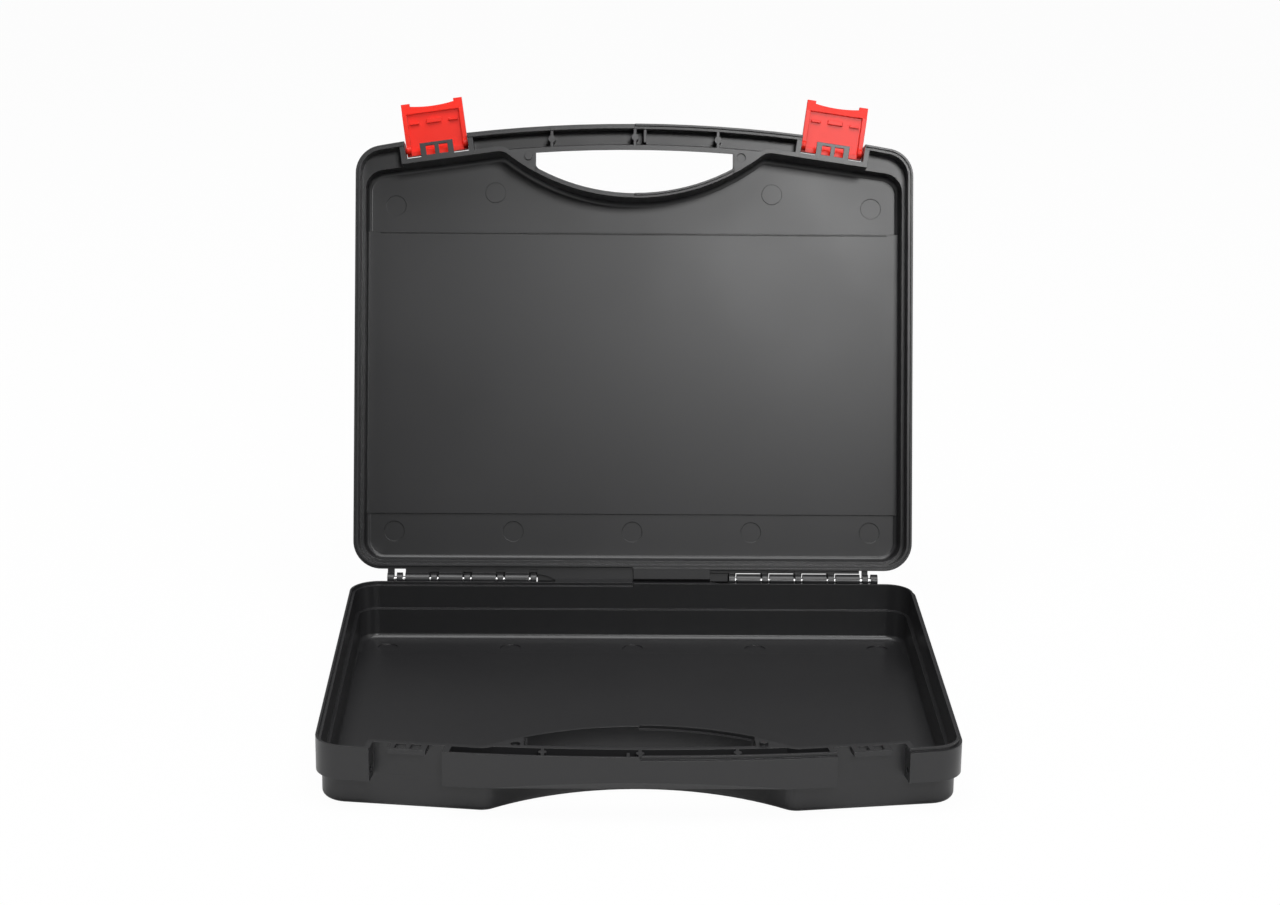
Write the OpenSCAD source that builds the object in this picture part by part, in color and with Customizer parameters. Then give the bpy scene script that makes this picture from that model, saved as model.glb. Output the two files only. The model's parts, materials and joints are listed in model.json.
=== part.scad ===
// Hard tool case: two identical moulded half shells on two hinge rods,
// closed by two latches beside the handle. It is drawn open, as in use.

/* [Case] */
// Width of the case along the hinge
body_w = 300; // [260:1:360]
// Depth of the case from the hinge side to the middle of the handle
body_d = 240; // [220:1:280]
// Height of one half shell, from its floor to the parting plane
half_h = 32; // [28:0.5:50]
// Radius of the gentle arc of the handle side
front_arc_r = 755; // [600:5:1000]
// Radius of the corners seen from above
corner_r = 15; // [12:0.5:20]
// How far the lid is open from closed, where it rests on its stop
open_angle = 107.5; // [100:0.5:112]

/* [Shell walls] */
// Wall thickness of the lower shell
wall = 2.5; // [2:0.1:3.2]
// Floor thickness
floor_t = 2.5; // [2:0.1:3.5]
// Height of the rim band that stands proud of the shell
band_h = 16; // [15:0.5:18]
// How far the rim band stands out at the sides and the back
band_step = 2; // [1.2:0.1:3]
// Wall thickness of the rim band
rim_wall = 2.6; // [2.4:0.1:3]
// Thickness of the ledge under the rim band
ledge_t = 2.5; // [2:0.1:3.5]
// Radius of the outer bottom edge
edge_r = 3; // [2.5:0.5:5]
// Radius of the inner floor edge
floor_r = 3; // [2:0.25:4]
// Gap that each half keeps from the parting plane
seam = 0.05; // [0.05:0.05:0.2]

/* [Rim lips] */
// Height of the interlocking rim lip
lip_h = 0.8; // [0.5:0.1:1.2]
// Thickness of the interlocking rim lip
lip_t = 1.1; // [0.8:0.05:1.2]
// Play over and between the two lips
lip_play = 0.15; // [0.1:0.05:0.2]

/* [Floor panel] */
// Distance from the hinge axis to the near edge of the raised panel
panel_back_v = 35; // [30:0.5:45]
// Length of the raised panel, front to back
panel_len = 154; // [120:1:158]
// Height of the step between the panel and the floor
panel_step = 1; // [0.5:0.1:1.5]
// Margin beside the matching recess of the outer face
panel_margin = 7; // [6:0.5:12]
// Width and depth of the groove along the raised panel's front edge
groove_t = 0.5; // [0.3:0.05:0.8]
// Diameter of the round mould marks
mark_d = 11; // [8:0.5:14]
// Depth of the round mould marks, and height of the two raised ones
mark_t = 0.5; // [0.2:0.05:0.8]
// Distance of the outer marks from the side of the case
mark_margin = 20; // [18:0.5:30]
// Distance of the rear row of marks from the hinge axis
mark_rear_v = 25.3; // [20:0.5:27]

/* [Handle] */
// Radius of the arched shell wall behind the hand hole
hump_r = 111; // [104:1:125]
// Width from the outer face of the handle to the arched wall
hump_reach = 37.3; // [34:0.1:40]
// Radius of the bend beside the arched wall
bend_r = 10; // [6:0.5:12]
// Half of the length of the hand hole
hole_half = 53.4; // [45:0.2:56]
// Radius of the hand hole's two corners on the arched wall
hole_r = 3.5; // [2:0.5:5]
// Width of the handle bar
handle_w = 14.2; // [13:0.1:16]
// Wall thickness of the handle channel
handle_wall = 2.8; // [2.6:0.1:3.2]
// How far the handle's rear wall leans outwards over the height of the band
handle_lean = 2.1; // [1:0.1:2.5]
// Thickness of the floor of the handle channel
handle_floor = 3.5; // [2.5:0.1:4.5]
// Height of the slanted lower edge at the middle of the handle
grip_h = 4.2; // [3:0.1:5]
// Depth of the slanted lower edge at the middle of the handle
grip_d = 3.2; // [2:0.1:3.5]
// Thickness of the cross ribs in the handle
rib_t = 1.5; // [1:0.1:2]
// Distance of the outer cross ribs from the middle
rib_u = 44.7; // [38:0.1:50]
// Diameter of the round bosses on the cross ribs
boss_d = 3.9; // [3:0.1:5]
// Thickness of the webs at the ends of the hand hole
web_t = 3; // [2:0.25:4]
// Diameter of the locating peg
peg_d = 4.2; // [3:0.1:5]
// Height of the locating peg
peg_h = 1.5; // [1:0.1:2]
// Distance of the locating peg and its hole from the middle
peg_u = 57.2; // [57:0.1:60]
// Radial play of the peg in the other half's hole
peg_play = 0.25; // [0.15:0.05:0.4]

/* [Latches] */
// Distance of each latch's middle from the side of the case
latch_margin = 42.6; // [41:0.1:45]
// Width of the latch
latch_w = 33.2; // [31:0.1:34]
// Length of the latch
latch_len = 28.6; // [27:0.1:29]
// Thickness of the latch plate
latch_t = 2; // [1.6:0.1:2.2]
// Gap beside the latch in its recess
latch_gap = 0.4; // [0.3:0.05:0.6]
// Depth of the latch recess
recess_d = 9.9; // [9.6:0.1:10.5]
// Thickness of the recess side walls
recess_wall = 2.8; // [2.4:0.1:3.4]
// Depth of the pivot behind the outer face
pivot_n = 4.4; // [4.2:0.1:4.6]
// Distance of the pivot from the parting plane
pivot_w = 11; // [10.5:0.1:11.5]
// Radius of the pivot stubs
stub_r = 1.8; // [1.4:0.05:2.2]
// Length of each pivot stub in its wall
stub_len = 1.6; // [1.2:0.1:1.8]
// Radial play of the pivot stubs
stub_play = 0.06; // [0.03:0.01:0.1]
// Radius of the eyes round the pivot stubs
eye_r = 2.6; // [2.4:0.1:3]
// Width of the latch's side flanges
flange_t = 2.4; // [1.6:0.1:2.6]
// Depth of the latch's side flanges
flange_h = 3.2; // [2.4:0.1:3.6]
// Width of each finger ear
ear_w = 4.7; // [4:0.1:7]
// Height of the ears above the ends of the scoop
ear_h = 1.6; // [1:0.1:2.5]
// Depth of the scoop between the ears
scoop_h = 1; // [0.5:0.1:1.5]
// Length of the thick finger end of the latch
finger_len = 5.8; // [5:0.1:6.5]
// Width of the stop heel
stop_w = 15; // [10:0.5:16]
// Gap of the stop heel and of the lid stop when open
stop_gap = 0.12; // [0.1:0.02:0.2]
// Width of the catch frame
bracket_w = 17.8; // [17:0.1:20]
// Reach of the catch frame from the recess wall
bracket_reach = 7.3; // [7:0.1:7.5]
// Thickness of the catch frame
bracket_t = 2.4; // [2:0.1:2.6]
// Width of the side bars of the catch frame
side_bar = 3; // [2.4:0.1:3.4]
// Width of the middle bar of the catch frame
middle_bar = 2.3; // [2:0.1:2.8]
// Width of the front bar of the catch frame
front_bar = 1.6; // [1.4:0.1:2]
// Gap between the catch rib and the catch frame
catch_gap = 0.3; // [0.2:0.05:0.5]

/* [Hinge] */
// Distance from the hinge axis to the back face
hinge_gap = 5.4; // [5:0.1:6.5]
// Diameter of the hinge knuckles
knuckle_d = 7; // [6.4:0.1:7.2]
// Radius of the hinge rods
rod_r = 1.5; // [1.2:0.05:2]
// Radial play of the rods
rod_play = 0.05; // [0.03:0.01:0.1]
// Length of each long knuckle
long_w = 12.9; // [11:0.1:13.1]
// Length of each short knuckle
short_w = 3.1; // [2.6:0.1:3.3]
// Spacing of the long knuckles
knuckle_pitch = 17.75; // [17.5:0.05:18.2]
// Distance of the outermost long knuckle from the side of the case
knuckle_margin = 28.2; // [27:0.1:30]
// Distance of the end knuckle's outer face from the side of the case
post_margin = 18.6; // [17:0.1:19]
// Thickness of the end knuckle
post_w = 3.6; // [3:0.1:3.8]
// Gap between each end of the lid stop and the nearest knuckle
stop_side_gap = 0.4; // [0.3:0.1:3]
// Length of the end of the lid stop that is set back
stop_back_w = 9.8; // [5:0.1:12]
// How far the layer under that end and under the curved notch is set back
stop_back = 1.2; // [0.8:0.1:1.5]
// Radius of the curved notch at the other end of the lid stop
notch_r = 16.8; // [12:0.1:20]
// Distance of that notch's edge from the hinge axis
notch_v = 2.6; // [2:0.1:4]
// Thickness of the knuckle arms and the stop
arm_t = 2.5; // [2.2:0.1:2.6]

/* [Hidden] */
$fn = 64;

// A little extra length, so that a cut goes right through
cut = 1;
// Overlap of the cuts for the rounded edges, and the hair between surfaces
// that would otherwise only touch
joint_lap = 0.8;
joint_step = 0.01;
// Number of long knuckles on one side
long_n = 4;
// A large round number of sides for the handle side's arc
arc_fn = 720;
shell_col = "#2b2b2d";
latch_col = "#e62a1c";
rod_col = "silver";

// Distances from the hinge axis, towards the handle, are called v
front_v = hinge_gap + body_d;
arc_y = front_arc_r - front_v;
half_w = body_w / 2;
latch_u = half_w - latch_margin;
mark_u = half_w - mark_margin;
knuckle_u = half_w - knuckle_margin;
post_u = half_w - post_margin;

// Corners of the rim band
band_cx = half_w - corner_r;
band_back_y = -(hinge_gap + corner_r);
band_front_y = arc_y - sqrt(pow(front_arc_r - corner_r, 2) - band_cx * band_cx);
corner_a = asin(band_cx / (front_arc_r - corner_r));

// Outline of the lower shell: sides, back, slanted front and arched wall
latch_a = asin(latch_u / front_arc_r);
shell_half = half_w - band_step;
shell_back = hinge_gap + band_step;
shell_r = corner_r - band_step;
shell_cx = shell_half - shell_r;
front_c = front_arc_r - arc_y * cos(latch_a) - recess_d;
shell_cv = (front_c - shell_r - sin(latch_a) * shell_cx) / cos(latch_a);
hump_v = front_v - hump_reach + hump_r;
bend_n = front_c - bend_r;
bend_s = sqrt(pow(hump_r + bend_r, 2) - pow(bend_n - hump_v * cos(latch_a), 2))
    - hump_v * sin(latch_a);
bend_u = bend_n * sin(latch_a) + bend_s * cos(latch_a);
bend_v = bend_n * cos(latch_a) - bend_s * sin(latch_a);
bend_a = atan2(bend_u, hump_v - bend_v);
mark_side_u = bend_u + 2.7;
hump_lap = joint_lap / hump_r * 180 / PI;

// Levels below the parting plane
ledge_z = -(band_h - ledge_t);
channel_z = -(band_h - handle_floor);
floor_z = -half_h + floor_t;
lip_floor = seam + lip_h + lip_play;
rail_z = knuckle_d / 2 + 0.2;
knuckle_r = knuckle_d / 2;
strip_gap = 0.3;
strip_drop = 0.1;

// Latch recess and latch
recess_half = latch_w / 2 + latch_gap;
wall_half = recess_half + recess_wall;
latch_end = latch_len / 2 - pivot_w;
latch_free = latch_len - latch_end;
plate_in = pivot_n - latch_t;
catch_s = pivot_w + bracket_t + catch_gap;
handle_side_u = latch_u - wall_half;

// Channel in the handle bar
channel_in = handle_w - handle_wall;

// Left ends of a half's own knuckles: long ones right, short ones left
function long_u(k) = knuckle_u - long_w - k * knuckle_pitch;
function short_u(k) = k == 0
    ? -(knuckle_u + (post_u - post_w - knuckle_u + short_w) / 2)
    : -(long_u(k - 1) - (knuckle_pitch - long_w - short_w) / 2);

// Inner and outer end of a rod's bore, and the rod's length
inner_end = long_u(long_n - 1) - (knuckle_pitch - long_w - short_w) / 2 - short_w;
rod_end = post_u - 1.2;
rod_len = rod_end - 0.2 - inner_end;

// Lid stop: its length on each side of the middle, its thickness, and how far
// from the hinge axis the end face reaches that meets the other half's stop
stop_u = inner_end - stop_side_gap;
stop_t = 4;
stop_a = open_angle / 2;
stop_far = 8.2;
stop_half = cos(stop_a) * stop_gap / 2;

// Where the hinge axis stands in the case's own frame: the origin lies on
// the underside, in the middle of the rear band that the case rests on
hinge_y = (shell_back + edge_r + panel_back_v) / 2;
hinge_z = half_h;

// Outline points

// A point at distance r from a centre: the angle is measured from straight
// out of the handle side
function polar(c, r, a) = [c[0] + r * sin(a), c[1] - r * cos(a)];

// Their straight runs stand joint_step inside the round corners' tangents, so
// that each run and its corner cross cleanly
function band_pts(i) = [
    [band_cx, -(hinge_gap + i + joint_step)],
    [half_w - i - joint_step, band_back_y],
    [half_w - i - joint_step, band_front_y],
    polar([0, arc_y], front_arc_r - i - 2 * joint_step, corner_a),
    polar([0, arc_y], front_arc_r + corner_r, corner_a)];

function shell_pts(i) = [
    [shell_cx, -(shell_back + i + joint_step)],
    [shell_half - i - joint_step, -(shell_back + shell_r)],
    [shell_half - i - joint_step, -shell_cv],
    polar([shell_cx, -shell_cv], shell_r - i - joint_step, latch_a),
    polar([bend_u, -bend_v], bend_r - i - joint_step, latch_a),
    polar([bend_u, -bend_v], bend_r - i, -bend_a)];

function mirrored(p) = [for (k = [len(p) - 1 : -1 : 0]) [-p[k][0], p[k][1]]];

// A point beside the right latch: t along the case's edge, n outwards from it
function latch_pt(t, n) = polar([0, arc_y], front_arc_r + n, latch_a)
    + t * [cos(latch_a), sin(latch_a)];

// Plan outlines, drawn with the hinge axis on the x axis and the handle at -y

module both_sides() {
    children();
    mirror([1, 0]) children();
}

// Outline of the rim band, inset by i
module band_2d(i) {
    intersection() {
        union() {
            polygon(concat(band_pts(i), mirrored(band_pts(i))));
            both_sides() {
                translate([band_cx, band_back_y]) circle(corner_r - i);
                translate([band_cx, band_front_y]) circle(corner_r - i);
            }
        }
        translate([0, arc_y]) circle(front_arc_r - i - joint_step, $fn = arc_fn);
    }
}

// Outline of the lower shell, inset by i
module shell_2d(i) {
    difference() {
        union() {
            polygon(concat(shell_pts(i), mirrored(shell_pts(i))));
            both_sides() {
                translate([shell_cx, -(shell_back + shell_r)]) circle(shell_r - i);
                translate([shell_cx, -shell_cv]) circle(shell_r - i);
                translate([bend_u, -bend_v]) circle(bend_r - i);
            }
        }
        translate([0, -hump_v]) circle(hump_r + i + joint_step, $fn = arc_fn / 2);
    }
}

// The stretch of the handle side between the outer walls of the two recesses
module front_zone_2d(t) {
    far = 20;
    near = hump_reach + handle_w;
    pts = [latch_pt(t, far), latch_pt(t, -near)];
    polygon(concat(pts, mirrored(pts)));
}

module slab(z0, z1) {
    translate([0, 0, z0]) linear_extrude(z1 - z0) children();
}

// What a rounded bottom edge takes off: x points outwards, y upwards
module edge_profile(r) {
    out = 2 * joint_step;
    difference() {
        translate([-r, -cut]) square([r + cut, r + cut]);
        translate([-r + out, r - out]) circle(r);
    }
}

// The edge cut along a straight run from p to q, with the solid on its left,
// which reaches into the cuts round the corners
module line_cut(p, q, r) {
    d = q - p;
    translate([p[0], p[1], 0]) rotate([0, 0, atan2(d[1], d[0])])
        translate([-joint_lap, 0, 0]) rotate([90, 0, 90])
        linear_extrude(norm(d) + 2 * joint_lap) mirror([1, 0]) edge_profile(r);
}

// The edge cut round a corner of radius c, turning by a from the angle a0
module arc_cut(p, c, r, a0, a) {
    translate([p[0], p[1], 0]) rotate([0, 0, a0])
        rotate_extrude(angle = a) translate([c, 0]) edge_profile(r);
}

// A block with the lower shell's outline and a rounded bottom edge. The cuts
// are taken one kind after another, because each crosses the one before.
module shell_block(i, z0, z1, r) {
    difference() {
        difference() {
            difference() {
                slab(z0, z1) shell_2d(i);
                translate([0, 0, z0]) hump_cut(i, r);
            }
            translate([0, 0, z0]) corner_cuts(i, r);
        }
        translate([0, 0, z0]) run_cuts(i, r);
    }
}

module hump_cut(i, r) {
    translate([0, -hump_v, 0]) rotate([0, 0, 90 - bend_a - hump_lap])
        rotate_extrude(angle = 2 * (bend_a + hump_lap), $fn = arc_fn / 2)
        translate([hump_r + i + joint_step, 0]) mirror([1, 0]) edge_profile(r);
}

module corner_cuts(i, r) {
    for (side = [1, -1]) scale_side(side) {
        arc_cut([shell_cx, -(shell_back + shell_r)], shell_r - i, r, 0, 90);
        arc_cut([shell_cx, -shell_cv], shell_r - i, r, latch_a - 90, 90 - latch_a);
        arc_cut([bend_u, -bend_v], bend_r - i, r, -90 - bend_a, latch_a + bend_a);
    }
}

module run_cuts(i, r) {
    p = shell_pts(i);
    line_cut(p[0], [-p[0][0], p[0][1]], r);
    for (side = [1, -1]) scale_side(side) {
        line_cut(p[2], p[1], r);
        line_cut(p[4], p[3], r);
    }
}

module scale_side(side) {
    if (side > 0) children();
    else mirror([1, 0, 0]) children();
}

// Places its children beside a latch: x along the edge, y into the case
module at_latch(side) {
    translate([0, arc_y, 0]) rotate([0, 0, side * latch_a])
        translate([0, -front_arc_r, 0]) children();
}

// Pieces of one half shell, with the parting plane at z = 0 and the floor below

// Space inside the rim band, beside the latch recesses
module band_cavity() {
    slab(ledge_z, cut + lip_h) difference() {
        band_2d(rim_wall);
        front_zone_2d(wall_half);
    }
}

// Space inside the lower shell, with the raised floor panel left standing
module shell_cavity() {
    difference() {
        shell_block(wall, floor_z, cut + lip_h, floor_r);
        translate([-half_w, -(panel_back_v + panel_len), floor_z - cut])
            cube([body_w, panel_len, panel_step + cut]);
        for (side = [1, -1])
            translate([side * mark_side_u, -shell_cv, floor_z - cut])
                cylinder(h = cut + mark_t, d = mark_d);
    }
}

// Space of one latch, open outwards and through the band
module latch_recess(side) {
    at_latch(side) translate([-recess_half, -cut, -band_h - cut])
        cube([2 * recess_half, recess_d - 2 * joint_step + cut, band_h + 2 * cut + lip_h]);
}

// Bores for the latch's pivot stubs in the two recess walls
module stub_bores(side) {
    reach = recess_half + stub_len + latch_gap;
    at_latch(side) translate([-reach, pivot_n, -pivot_w])
        rotate([0, 90, 0]) cylinder(h = 2 * reach, r = stub_r + stub_play);
}

// Everything behind the handle bar's leaning rear wall, whose rear face is
// inset by i at the parting plane
module behind_wall(i) {
    above = cut + lip_h;
    lean = handle_lean * (band_h + cut) / band_h;
    rise = handle_lean * above / band_h;
    translate([0, arc_y, -band_h - cut])
        cylinder(h = band_h + cut + above, r1 = front_arc_r - i + lean,
                 r2 = front_arc_r - i - rise, $fn = arc_fn);
}

// Space inside the handle bar
module handle_channel() {
    difference() {
        slab(channel_z, cut + lip_h) difference() {
            intersection() {
                band_2d(handle_wall);
                front_zone_2d(-wall_half);
            }
            shell_2d(0);
        }
        behind_wall(channel_in);
    }
}

// Cross ribs with round bosses, in the channel of the handle
module handle_ribs() {
    overlap = 0.1;
    short_u0 = -6.2;
    short_drop = 1;
    slab(channel_z - overlap, -seam) intersection() {
        difference() {
            band_2d(handle_wall - overlap);
            band_2d(channel_in + overlap);
        }
        union() for (u = [-rib_u, 0, rib_u])
            translate([u - rib_t / 2, -front_v]) square([rib_t, handle_w]);
    }
    for (u = [-rib_u, 0, rib_u])
        translate([u, arc_y - sqrt(pow(front_arc_r - handle_w / 2, 2) - u * u), channel_z - overlap])
            cylinder(h = overlap - channel_z - seam, d = boss_d);
    // a lower rib beside the middle one
    slab(channel_z - overlap, -seam - short_drop) intersection() {
        difference() {
            band_2d(handle_wall - overlap);
            band_2d(channel_in - rib_t);
        }
        translate([short_u0, -front_v]) square([rib_t, handle_w]);
    }
}

// Flat webs and end walls at the two ends of the hand hole
module hole_ends() {
    overlap = 0.1;
    for (part = [[web_t, half_w], [band_h, hole_half + handle_wall]])
        slab(-part[0], -seam) difference() {
            intersection() {
                band_2d(channel_in);
                front_zone_2d(-wall_half);
                both_sides() translate([hole_half, -front_v])
                    square([part[1] - hole_half, 2 * handle_w]);
            }
            shell_2d(overlap);
        }
    slab(-band_h, -seam) both_sides() hole_corner_2d();
}

// What rounds the hand hole's corner between its end and the arched wall
module hole_corner_2d() {
    root = 0.5;
    centre = [hole_half - hole_r, sqrt(pow(hump_r - hole_r, 2) - pow(hole_half - hole_r, 2)) - hump_v];
    corner = [hole_half, sqrt(hump_r * hump_r - hole_half * hole_half) - hump_v];
    out = [centre[0], centre[1] + hump_v] / (hump_r - hole_r);
    difference() {
        polygon([centre, [hole_half + root, centre[1]], corner + [root, root],
                 centre + out * (hole_r + root)]);
        translate(centre) circle(hole_r + joint_step);
    }
}

// Catch frame that the latch hooks behind, with two windows
module bracket(side) {
    window_w = (bracket_w - 2 * side_bar - middle_bar) / 2;
    rear_bar = 0.7;
    root = 0.3;
    at_latch(side) translate([0, recess_d - bracket_reach, -bracket_t - seam])
        difference() {
            translate([-bracket_w / 2, 0, 0])
                cube([bracket_w, bracket_reach + root, bracket_t]);
            for (k = [-1, 1])
                translate([k * (window_w + middle_bar) / 2 - window_w / 2, front_bar, -cut])
                    cube([window_w, bracket_reach - front_bar - rear_bar, bracket_t + 2 * cut]);
        }
}

// The rim's raised lip: outside on the left half, inside on the right half
module rim_lip() {
    inner = rim_wall - lip_t;
    gap = 2 * lip_play;
    slab(-seam - lip_h, lip_h - seam) {
        intersection() {
            lip_ring(0, lip_t);
            translate([-body_w - gap, -body_w]) square([body_w, body_w]);
        }
        intersection() {
            lip_ring(inner, rim_wall);
            translate([gap, -body_w]) square([body_w, body_w]);
        }
    }
}

// A ring of the rim between two insets: round the band and behind the hand hole
module lip_ring(i0, i1) {
    difference() {
        band_2d(i0);
        band_2d(i1);
    }
    difference() {
        intersection() {
            shell_2d(i0);
            translate([-hole_half, -front_v]) square([2 * hole_half, hump_reach + handle_w]);
        }
        shell_2d(i1);
    }
}

// The rim's lowered face beside its lip
module rim_step() {
    inner = rim_wall - lip_t;
    slab(-lip_floor, cut + lip_h) {
        intersection() {
            lip_ring(lip_t, rim_wall);
            translate([-body_w, -body_w]) square([body_w, body_w]);
        }
        intersection() {
            lip_ring(-cut / 10, inner);
            translate([0, -body_w]) square([body_w, body_w]);
        }
    }
}

// One hinge knuckle with its arm, from u0 to u0 + w
module knuckle(u0, w) {
    root = 1;
    translate([u0, 0, 0]) {
        rotate([0, 90, 0]) cylinder(h = w, d = knuckle_d);
        translate([0, -hinge_gap - root, -knuckle_r])
            cube([w, hinge_gap + root, arm_t]);
    }
}

module knuckles() {
    root = 1;
    for (k = [0 : long_n - 1]) knuckle(long_u(k), long_w);
    knuckle(post_u - post_w, post_w);
    for (k = [0 : long_n]) knuckle(short_u(k), short_w);
    // rail from the lid stop under the long knuckles, with a rib up to each
    translate([stop_u - root, -hinge_gap - root, -rail_z - arm_t])
        cube([knuckle_u - stop_u + root, hinge_gap, arm_t]);
    for (k = [0 : long_n - 1])
        translate([long_u(k), -hinge_gap - root, -rail_z - cut])
            cube([long_w, hinge_gap - root, rail_z]);
    // strip on the back face, close to the other half's knuckles
    translate([-knuckle_u, -hinge_gap - root, -rail_z - arm_t + root / 2])
        cube([2 * knuckle_u, hinge_gap + root - knuckle_r - strip_gap,
              rail_z + arm_t - root / 2 - lip_floor - strip_drop]);
}

// Bores of the hinge rods: through all knuckles, and blind in the end ones
module rod_bores() {
    for (side = [1, -1]) scale_side(side)
        translate([inner_end - cut, 0, 0]) rotate([0, 90, 0])
            cylinder(h = rod_end - inner_end + cut, r = rod_r + rod_play);
}

// The flat stop between the hinge groups, on the level of the rim beside it:
// its slanted end meets the other half's stop when the case is fully open. A
// lower layer carries on under the curved notch and past the other end.
module lid_stop() {
    inset = 0.2;
    root = 1;
    difference() {
        union() {
            stop_layer(-2 * lip_play - root, stop_u, -lip_floor, 0);
            stop_layer(-stop_u + stop_back_w, -2 * lip_play, lip_h - seam, 2 * joint_step);
        }
        translate([stop_u, notch_r - notch_v, -half_h]) cylinder(h = half_h, r = notch_r);
    }
    stop_layer(-stop_u, stop_u - inset, -lip_floor, stop_back);
}

// The same ledge under each short knuckle, troughed clear of the other half's
// long ones, and joined to the stop at the innermost
module aprons() {
    root = 1;
    side_gap = 0.3;
    reach = (knuckle_pitch - long_w - short_w) / 2 - side_gap;
    difference() {
        for (k = [1 : long_n])
            stop_layer(short_u(k) - reach,
                       k == long_n ? root - stop_u : short_u(k) + short_w + reach,
                       -lip_floor, stop_back);
        translate([-knuckle_u, 0, 0]) rotate([0, 90, 0])
            cylinder(h = knuckle_u - stop_u, r = knuckle_r + side_gap);
    }
}

// A layer of the stop from u0 to u1 with its top at this level, less the drop
module stop_layer(u0, u1, top, drop) {
    root = 1;
    low = -lip_floor - stop_t;
    translate([u0, 0, -drop]) rotate([90, 0, 90]) linear_extrude(u1 - u0)
        polygon([[-hinge_gap - root, top], stop_end((-top - stop_half) / sin(stop_a)),
                 stop_end(stop_far), [-hinge_gap, low], [-hinge_gap - root, low]]);
}

// A point on the stop's end face, which lies on the plane halfway between the
// two open halves, less half of the gap
function stop_end(s) = [cos(stop_a) * s - sin(stop_a) * stop_gap / 2,
                        -sin(stop_a) * s - stop_half];

// Locating peg and hole on the webs
module web_pt(u) {
    inset = handle_w + peg_d / 2 - 0.6;
    translate([u, arc_y - sqrt(pow(front_arc_r - inset, 2) - u * u), 0]) children();
}

// Round mould marks on the floor
module marks() {
    front_row = shell_cv - corner_r / 2;
    for (p = [[mark_u, mark_rear_v], [mark_u / 2, mark_rear_v], [0, mark_rear_v],
              [-mark_u / 2, mark_rear_v], [-mark_u, mark_rear_v],
              [mark_u, front_row], [-mark_u, front_row]])
        translate([p[0], -p[1], floor_z - mark_t]) cylinder(h = mark_t + cut, d = mark_d);
}

// Groove in the raised panel along its front edge
module panel_groove() {
    edge_t = 0.6;
    translate([-shell_half + wall + panel_margin, -(panel_back_v + panel_len - edge_t),
               floor_z + panel_step - groove_t])
        cube([2 * (shell_half - wall - panel_margin), groove_t, groove_t + cut]);
}

// One half shell
module half_shell() {
    difference() {
        union() {
            slab(-band_h, -seam) difference() {
                band_2d(0);
                front_zone_2d(wall_half - recess_wall / 2);
            }
            difference() {
                difference() {
                    slab(-band_h, -seam) intersection() {
                        band_2d(0);
                        front_zone_2d(wall_half);
                    }
                    intersection() {
                        slab(-band_h - cut, cut) front_zone_2d(-recess_half - recess_wall / 2);
                        behind_wall(handle_w);
                    }
                }
                grip_slant();
            }
            hole_ends();
            shell_block(0, -half_h, -seam, edge_r);
            rim_lip();
            lid_stop();
            aprons();
        }
        shell_cavity();
        band_cavity();
        handle_channel();
        rim_step();
        for (side = [-1, 1]) {
            latch_recess(side);
            stub_bores(side);
        }
        marks();
        panel_groove();
        label_recess();
        web_pt(-peg_u) translate([0, 0, -peg_h - lip_play])
            cylinder(h = peg_h + cut, d = peg_d + 2 * peg_play);
    }
    difference() {
        knuckles();
        rod_bores();
    }
    handle_ribs();
    for (side = [-1, 1]) bracket(side);
    web_pt(peg_u) translate([0, 0, -web_t / 2])
        cylinder(h = peg_h + web_t / 2 - seam, d = peg_d);
}

// Slant of the handle's outer lower edge, which fades out along the arc
module grip_slant() {
    over = 1.5;
    translate([-handle_side_u, -front_v, -band_h]) rotate([90, 0, 90])
        linear_extrude(2 * handle_side_u)
        polygon([[grip_d * over, -grip_h * (over - 1)], [-grip_d * (over - 1), grip_h * over],
                 [-grip_d * over, -grip_h * over]]);
}

// Recess of the outer face, opposite the raised floor panel
module label_recess() {
    w = 2 * (shell_half - panel_margin);
    translate([-w / 2, -(panel_back_v + panel_len), -half_h - cut])
        cube([w, panel_len, panel_step + cut]);
}

// The latch in its closed position about its pivot: the outer face is at -y,
// and the free end points to +z
module latch() {
    difference() {
        union() {
            latch_plate();
            latch_sides();
            latch_ribs();
        }
        finger_scoop();
    }
}

module latch_plate() {
    overlap = 0.1;
    step_h = 1.8;
    edge_h = 1.3;
    foot_s = -0.6;
    heel_len = recess_d - pivot_n - stop_gap;
    translate([-latch_w / 2, -pivot_n, -latch_end])
        cube([latch_w, latch_t, latch_len]);
    // thick finger end
    translate([-latch_w / 2, 0, 0]) rotate([90, 0, 90]) linear_extrude(latch_w)
        polygon([[-plate_in - overlap, latch_free - finger_len],
                 [-plate_in + step_h, latch_free - finger_len],
                 [-plate_in + edge_h, latch_free], [-plate_in - overlap, latch_free]]);
    // foot, and the heel that rests on the recess wall when open
    translate([-latch_w / 2, -plate_in - overlap, -latch_end])
        cube([latch_w, plate_in + overlap, latch_end + foot_s]);
    translate([-stop_w / 2, -plate_in - overlap, -heel_len])
        cube([stop_w, arm_t, heel_len + foot_s]);
}

// Side flanges with the eyes and the pivot stubs
module latch_sides() {
    overlap = 0.1;
    for (side = [1, -1]) scale_side(side) {
        translate([latch_w / 2 - flange_t, -plate_in - overlap, -latch_end])
            cube([flange_t, plate_in + overlap, latch_end]);
        translate([latch_w / 2 - flange_t, -plate_in - overlap, 0])
            cube([flange_t, flange_h + overlap, latch_free - finger_len + overlap]);
        translate([latch_w / 2 - flange_t, 0, 0]) rotate([0, 90, 0])
            cylinder(h = flange_t, r = eye_r);
        translate([latch_w / 2 - overlap, 0, 0]) rotate([0, 90, 0])
            cylinder(h = latch_gap + stub_len + overlap, r = stub_r);
    }
}

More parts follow.
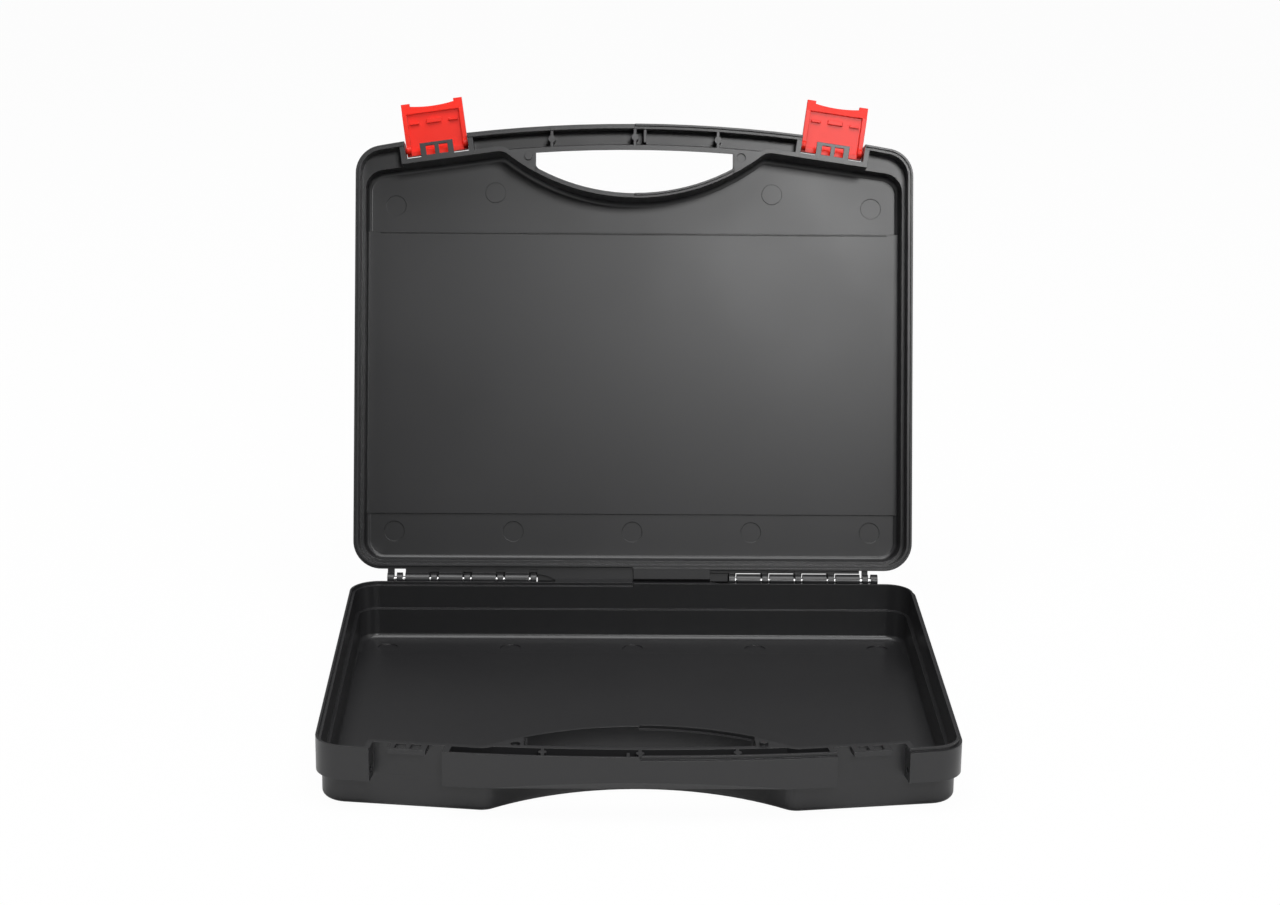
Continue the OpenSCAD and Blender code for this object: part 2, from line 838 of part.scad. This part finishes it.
// Catch rib in three lengths, that hooks behind the catch frame
module latch_ribs() {
    overlap = 0.1;
    catch_h = 1.5;
    pitch = 10.5;
    for (rib = [[-pitch, 5, 1.2], [0, 7.9, 2.4], [pitch, 5, 1.2]])
        translate([rib[0] - rib[1] / 2, -plate_in - overlap, catch_s])
            cube([rib[1], catch_h + overlap, rib[2]]);
}

// Scoop between the two ears of the free end
module finger_scoop() {
    chord = latch_w / 2 - ear_w;
    r = (chord * chord + scoop_h * scoop_h) / (2 * scoop_h);
    low = latch_free - ear_h - scoop_h;
    translate([0, pivot_n, 0]) rotate([90, 0, 0]) linear_extrude(3 * pivot_n)
        intersection() {
            translate([-chord, low - cut]) square([2 * chord, 2 * ear_h + scoop_h + cut]);
            translate([0, low + r]) circle(r, $fn = 180);
        }
}

// The pieces in place

module open_lid() {
    translate([0, hinge_y, hinge_z]) rotate([-open_angle, 0, 0]) rotate([0, 180, 0])
        children();
}

module base_shell() {
    color(shell_col) translate([0, hinge_y, hinge_z]) half_shell();
}

module lid_shell() {
    color(shell_col) open_lid() half_shell();
}

module hinge_rod(side) {
    color(rod_col) translate([side > 0 ? inner_end : -inner_end - rod_len, hinge_y, hinge_z])
        rotate([0, 90, 0]) cylinder(h = rod_len, r = rod_r);
}

module placed_latch(side) {
    color(latch_col) open_lid() at_latch(side) translate([0, pivot_n, -pivot_w])
        rotate([90, 0, 0]) latch();
}

base_shell();
lid_shell();
hinge_rod(-1);  // hinge_rod_left
hinge_rod(1);  // hinge_rod_right
placed_latch(1);  // latch_left
placed_latch(-1);  // latch_right
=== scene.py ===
import json
import math

import bmesh
import bpy
from mathutils import Matrix, Vector


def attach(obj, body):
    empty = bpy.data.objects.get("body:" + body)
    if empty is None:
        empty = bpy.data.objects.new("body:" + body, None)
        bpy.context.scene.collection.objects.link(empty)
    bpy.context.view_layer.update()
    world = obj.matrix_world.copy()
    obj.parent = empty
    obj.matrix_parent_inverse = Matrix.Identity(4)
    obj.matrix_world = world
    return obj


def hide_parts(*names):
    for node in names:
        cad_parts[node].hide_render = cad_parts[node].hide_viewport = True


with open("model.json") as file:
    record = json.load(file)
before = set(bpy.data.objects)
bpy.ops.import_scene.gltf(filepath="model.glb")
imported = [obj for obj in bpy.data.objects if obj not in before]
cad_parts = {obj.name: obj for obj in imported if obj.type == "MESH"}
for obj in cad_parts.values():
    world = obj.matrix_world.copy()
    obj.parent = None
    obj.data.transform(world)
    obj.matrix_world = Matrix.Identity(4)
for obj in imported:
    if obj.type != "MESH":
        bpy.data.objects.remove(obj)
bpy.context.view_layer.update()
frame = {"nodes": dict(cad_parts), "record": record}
print("frame loaded:", sorted(frame["nodes"]))

mm = 0.001
noiseMiddle = 0.5
bevelSamples = 4
white = (1, 1, 1, 1)


# Shader helpers

# One output socket of a node: a sum or a product with it adds a Math node
class Wire:
    def __init__(self, tree, socket):
        self.tree = tree
        self.socket = socket

    def maths(self, operation, first, second=None):
        node = self.tree.nodes.new("ShaderNodeMath")
        node.operation = operation
        for place, value in zip(node.inputs, (first, second)):
            if isinstance(value, Wire):
                self.tree.links.new(value.socket, place)
            elif value is not None:
                place.default_value = value
        return Wire(self.tree, node.outputs[0])

    def __add__(self, other):
        return self.maths("ADD", self, other)

    def __radd__(self, other):
        return self.maths("ADD", other, self)

    def __sub__(self, other):
        return self.maths("SUBTRACT", self, other)

    def __rmul__(self, other):
        return self.maths("MULTIPLY", other, self)

    def clamped(self):
        return self.maths("MINIMUM", self.maths("MAXIMUM", self, 0.0), 1.0)


# The node tree of a material or of the world
class Paint:
    def __init__(self, owner):
        owner.use_nodes = True
        self.owner = owner
        self.tree = owner.node_tree
        self.tree.nodes.clear()

    def add(self, kind, settings=None, sockets=None, output=0):
        node = self.tree.nodes.new("ShaderNode" + kind)
        for key, value in (settings or {}).items():
            setattr(node, key, value)
        for key, value in (sockets or {}).items():
            if isinstance(value, Wire):
                self.tree.links.new(value.socket, node.inputs[key])
            else:
                node.inputs[key].default_value = value
        return Wire(self.tree, node.outputs[output] if node.outputs else None)

    def finish(self, surface):
        self.add("OutputMaterial", sockets={"Surface": surface})
        return self.owner


def newPaint(name):
    return Paint(bpy.data.materials.new(name))


# Points in metres on the piece itself, so that a pattern moves with it
def objectPoint(paint, scale=(1, 1, 1)):
    place = paint.add("TexCoord", output="Object")
    return paint.add("Mapping", sockets={"Vector": place, "Scale": scale})


def noise(paint, point, size, detail):
    return paint.add("TexNoise", sockets={"Vector": point, "Scale": 1 / size, "Detail": detail})


# A bump on normals that are rounded near the edges
def softBump(paint, height, depth, radius):
    rounded = paint.add("Bevel", {"samples": bevelSamples}, {"Radius": radius})
    return paint.add("Bump", sockets={
        "Height": height,
        "Distance": depth,
        "Strength": 1.0,
        "Normal": rounded,
    })


# Moulded black plastic of the two shells

shellFinish = {
    "colour": (0.017, 0.017, 0.018, 1),
    "roughness": 0.31,
    "roughnessSpread": 0.10,
    "grainSize": 0.35 * mm,
    "grainDetail": 2.0,
    "grainDepth": 0.012 * mm,
    "flowSize": 60 * mm,
    "flowDetail": 3.0,
    "specular": 0.5,
    "edgeRound": 0.35 * mm,
}


def blackPlastic():
    f = shellFinish
    p = newPaint("shellPlastic")
    point = objectPoint(p)
    flow = noise(p, point, f["flowSize"], f["flowDetail"])
    grain = noise(p, point, f["grainSize"], f["grainDetail"])
    bump = softBump(p, grain, f["grainDepth"], f["edgeRound"])
    rough = f["roughness"] + f["roughnessSpread"] * (flow - noiseMiddle)
    return p.finish(p.add("BsdfPrincipled", sockets={
        "Base Color": f["colour"],
        "Roughness": rough,
        "Specular IOR Level": f["specular"],
        "Normal": bump,
    }))


# Red plastic of the latches

latchFinish = {
    "colour": (0.83, 0.024, 0.012, 1),
    "roughness": 0.3,
    "specular": 0.22,
    "glow": 0.12,
    "glowRadius": (3.0, 0.5, 0.3),
    "glowScale": 1.2 * mm,
    "waveSize": 9 * mm,
    "waveDetail": 1.0,
    "waveDepth": 0.05 * mm,
    "edgeRound": 0.5 * mm,
}


def redPlastic():
    f = latchFinish
    p = newPaint("latchPlastic")
    point = objectPoint(p)
    wave = noise(p, point, f["waveSize"], f["waveDetail"])
    bump = softBump(p, wave, f["waveDepth"], f["edgeRound"])
    return p.finish(p.add("BsdfPrincipled", sockets={
        "Base Color": f["colour"],
        "Roughness": f["roughness"],
        "Specular IOR Level": f["specular"],
        "Subsurface Weight": f["glow"],
        "Subsurface Radius": f["glowRadius"],
        "Subsurface Scale": f["glowScale"],
        "Normal": bump,
    }))


# Drawn steel wire of the hinge rods

rodFinish = {
    "colour": (0.62, 0.62, 0.62, 1),
    "roughness": 0.3,
    "roughnessSpread": 0.12,
    "streakSize": 0.4 * mm,
    "streakDetail": 2.0,
    "stretch": (0.02, 1, 1),
}


def steelWire():
    f = rodFinish
    p = newPaint("rodSteel")
    point = objectPoint(p, f["stretch"])
    streak = noise(p, point, f["streakSize"], f["streakDetail"])
    return p.finish(p.add("BsdfPrincipled", sockets={
        "Base Color": f["colour"],
        "Metallic": 1.0,
        "Roughness": f["roughness"] + f["roughnessSpread"] * (streak - noiseMiddle),
    }))


finishes = {"shell": blackPlastic(), "latch": redPlastic(), "rod": steelWire()}
print("finishes mixed:", sorted(finishes))


# Moulded pieces: each is a merged copy of its solid, smooth but for its sharp edges

# Edges are sharp from this angle on, in degrees
sharpAngle = {"shell": 26, "latch": 26, "rod": 40}
mergeGap = 0.002 * mm
faceWeight = 100


def mouldedCopy(node, body, slotName):
    solid = frame["nodes"][node]
    bm = bmesh.new()
    bm.from_mesh(solid.data)
    bmesh.ops.remove_doubles(bm, verts=bm.verts, dist=mergeGap)
    limit = math.radians(sharpAngle[slotName])
    for edge in bm.edges:
        edge.smooth = edge.calc_face_angle(math.pi) < limit
    for face in bm.faces:
        face.smooth = True
        face.material_index = 0
    mesh = bpy.data.meshes.new(node + "Moulded")
    bm.to_mesh(mesh)
    bm.free()
    piece = bpy.data.objects.new(node + "Moulded", mesh)
    bpy.context.scene.collection.objects.link(piece)
    mesh.materials.clear()
    mesh.materials.append(finishes[slotName])
    flat = piece.modifiers.new("flatFaces", "WEIGHTED_NORMAL")
    flat.weight = faceWeight
    flat.keep_sharp = True
    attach(piece, body)
    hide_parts(node)


bodies = frame["record"]["behaviour"]["bodies"]
slots = {row["node"]: row["material_slot"] for row in frame["record"]["subparts"]}
for body, nodes in bodies.items():
    for node in nodes:
        mouldedCopy(node, body, slots[node])
print("pieces dressed:", sum(len(nodes) for nodes in bodies.values()))


# Floor, backdrop and light

# The camera sees the floor as white, and it keeps a little of its shadow
stageFinish = {
    "size": 6.0,
    "floorColour": (0.86, 0.86, 0.86, 1),
    "cameraGlow": 0.97,
    "glossGlow": 0.04,
}


def paleFloor():
    f = stageFinish
    p = newPaint("paleFloor")
    matt = p.add("BsdfDiffuse", sockets={"Color": f["floorColour"]})
    bright = p.add("Emission", sockets={"Color": white, "Strength": 1.0})
    camera = p.add("LightPath", output="Is Camera Ray")
    glossy = p.add("LightPath", output="Is Glossy Ray")
    through = p.add("LightPath", output="Is Transmission Ray")
    glow = f["cameraGlow"] * camera + f["cameraGlow"] * through + f["glossGlow"] * glossy
    floor = p.add("MixShader", sockets={0: glow.clamped(), 1: matt, 2: bright})
    bm = bmesh.new()
    bmesh.ops.create_grid(bm, x_segments=1, y_segments=1, size=f["size"] / 2)
    mesh = bpy.data.meshes.new("floor")
    bm.to_mesh(mesh)
    bm.free()
    plane = bpy.data.objects.new("floor", mesh)
    bpy.context.scene.collection.objects.link(plane)
    mesh.materials.append(p.finish(floor))


def softLight(name, power, size, place):
    data = bpy.data.lights.new(name, "AREA")
    data.shape = "RECTANGLE"
    data.size, data.size_y = size
    data.energy = power
    lamp = bpy.data.objects.new(name, data)
    lamp.location = place
    aim = Vector(lampTarget) - Vector(place)
    lamp.rotation_euler = aim.to_track_quat("-Z", "Y").to_euler()
    bpy.context.scene.collection.objects.link(lamp)


lampTarget = (0.0, 0.0, 0.1)
lamps = {
    "overheadSoftbox": dict(power=27, size=(1.6, 1.2), place=(0.0, -0.5, 1.7)),
    "leftSoftbox": dict(power=1.5, size=(0.7, 1.2), place=(-1.3, -0.7, 0.8)),
    "rightSoftbox": dict(power=4, size=(0.7, 1.2), place=(1.3, -0.7, 0.8)),
    "rearSoftbox": dict(power=4, size=(1.6, 0.5), place=(0.0, 1.2, 1.2)),
    "keySoftbox": dict(power=17, size=(0.5, 0.4), place=(0.4, -2.3, 1.42)),
}
worldLevel = 0.1


# White where the camera looks straight at it, and dim as a light
def studioWorld():
    world = bpy.data.worlds.new("studio")
    bpy.context.scene.world = world
    p = Paint(world)
    camera = p.add("LightPath", output="Is Camera Ray")
    through = p.add("LightPath", output="Is Transmission Ray")
    straight = (camera + through).clamped()
    level = worldLevel + (1 - worldLevel) * straight
    glow = p.add("Background", sockets={"Color": white, "Strength": level})
    p.add("OutputWorld", sockets={"Surface": glow})


paleFloor()
studioWorld()
for name, lamp in lamps.items():
    softLight(name, **lamp)
print("stage lit with", len(lamps), "softboxes")


# Camera, fitted to the photograph: angles in degrees, sensor in millimetres

cameraFit = {
    "place": (-25.633 * mm, -1421.407 * mm, 539.34 * mm),
    "pitchDown": 16.79,
    "yaw": 1.141,
    "roll": 0.642,
    "focalPixels": 2848.3,
    "imageWidth": 1280,
    "sensor": 36.0,
    "clip": (0.05, 50),
}


def photoCamera():
    c = cameraFit
    pitch, yaw, roll = (math.radians(c[k]) for k in ("pitchDown", "yaw", "roll"))
    ahead = Vector((
        math.sin(yaw) * math.cos(pitch),
        math.cos(yaw) * math.cos(pitch),
        -math.sin(pitch),
    ))
    level = Vector((math.cos(yaw), -math.sin(yaw), 0))
    top = level.cross(ahead)
    right = level * math.cos(roll) + top * math.sin(roll)
    up = top * math.cos(roll) - level * math.sin(roll)
    data = bpy.data.cameras.new("photoCamera")
    data.sensor_width = c["sensor"]
    data.lens = c["focalPixels"] / c["imageWidth"] * c["sensor"]
    data.clip_start, data.clip_end = c["clip"]
    camera = bpy.data.objects.new("photoCamera", data)
    turn = Matrix((right, up, -ahead)).transposed()
    camera.matrix_world = Matrix.Translation(Vector(c["place"])) @ turn.to_4x4()
    bpy.context.scene.collection.objects.link(camera)
    bpy.context.scene.camera = camera


photoCamera()
bpy.context.scene.view_settings.view_transform = "Standard"
print("camera placed")
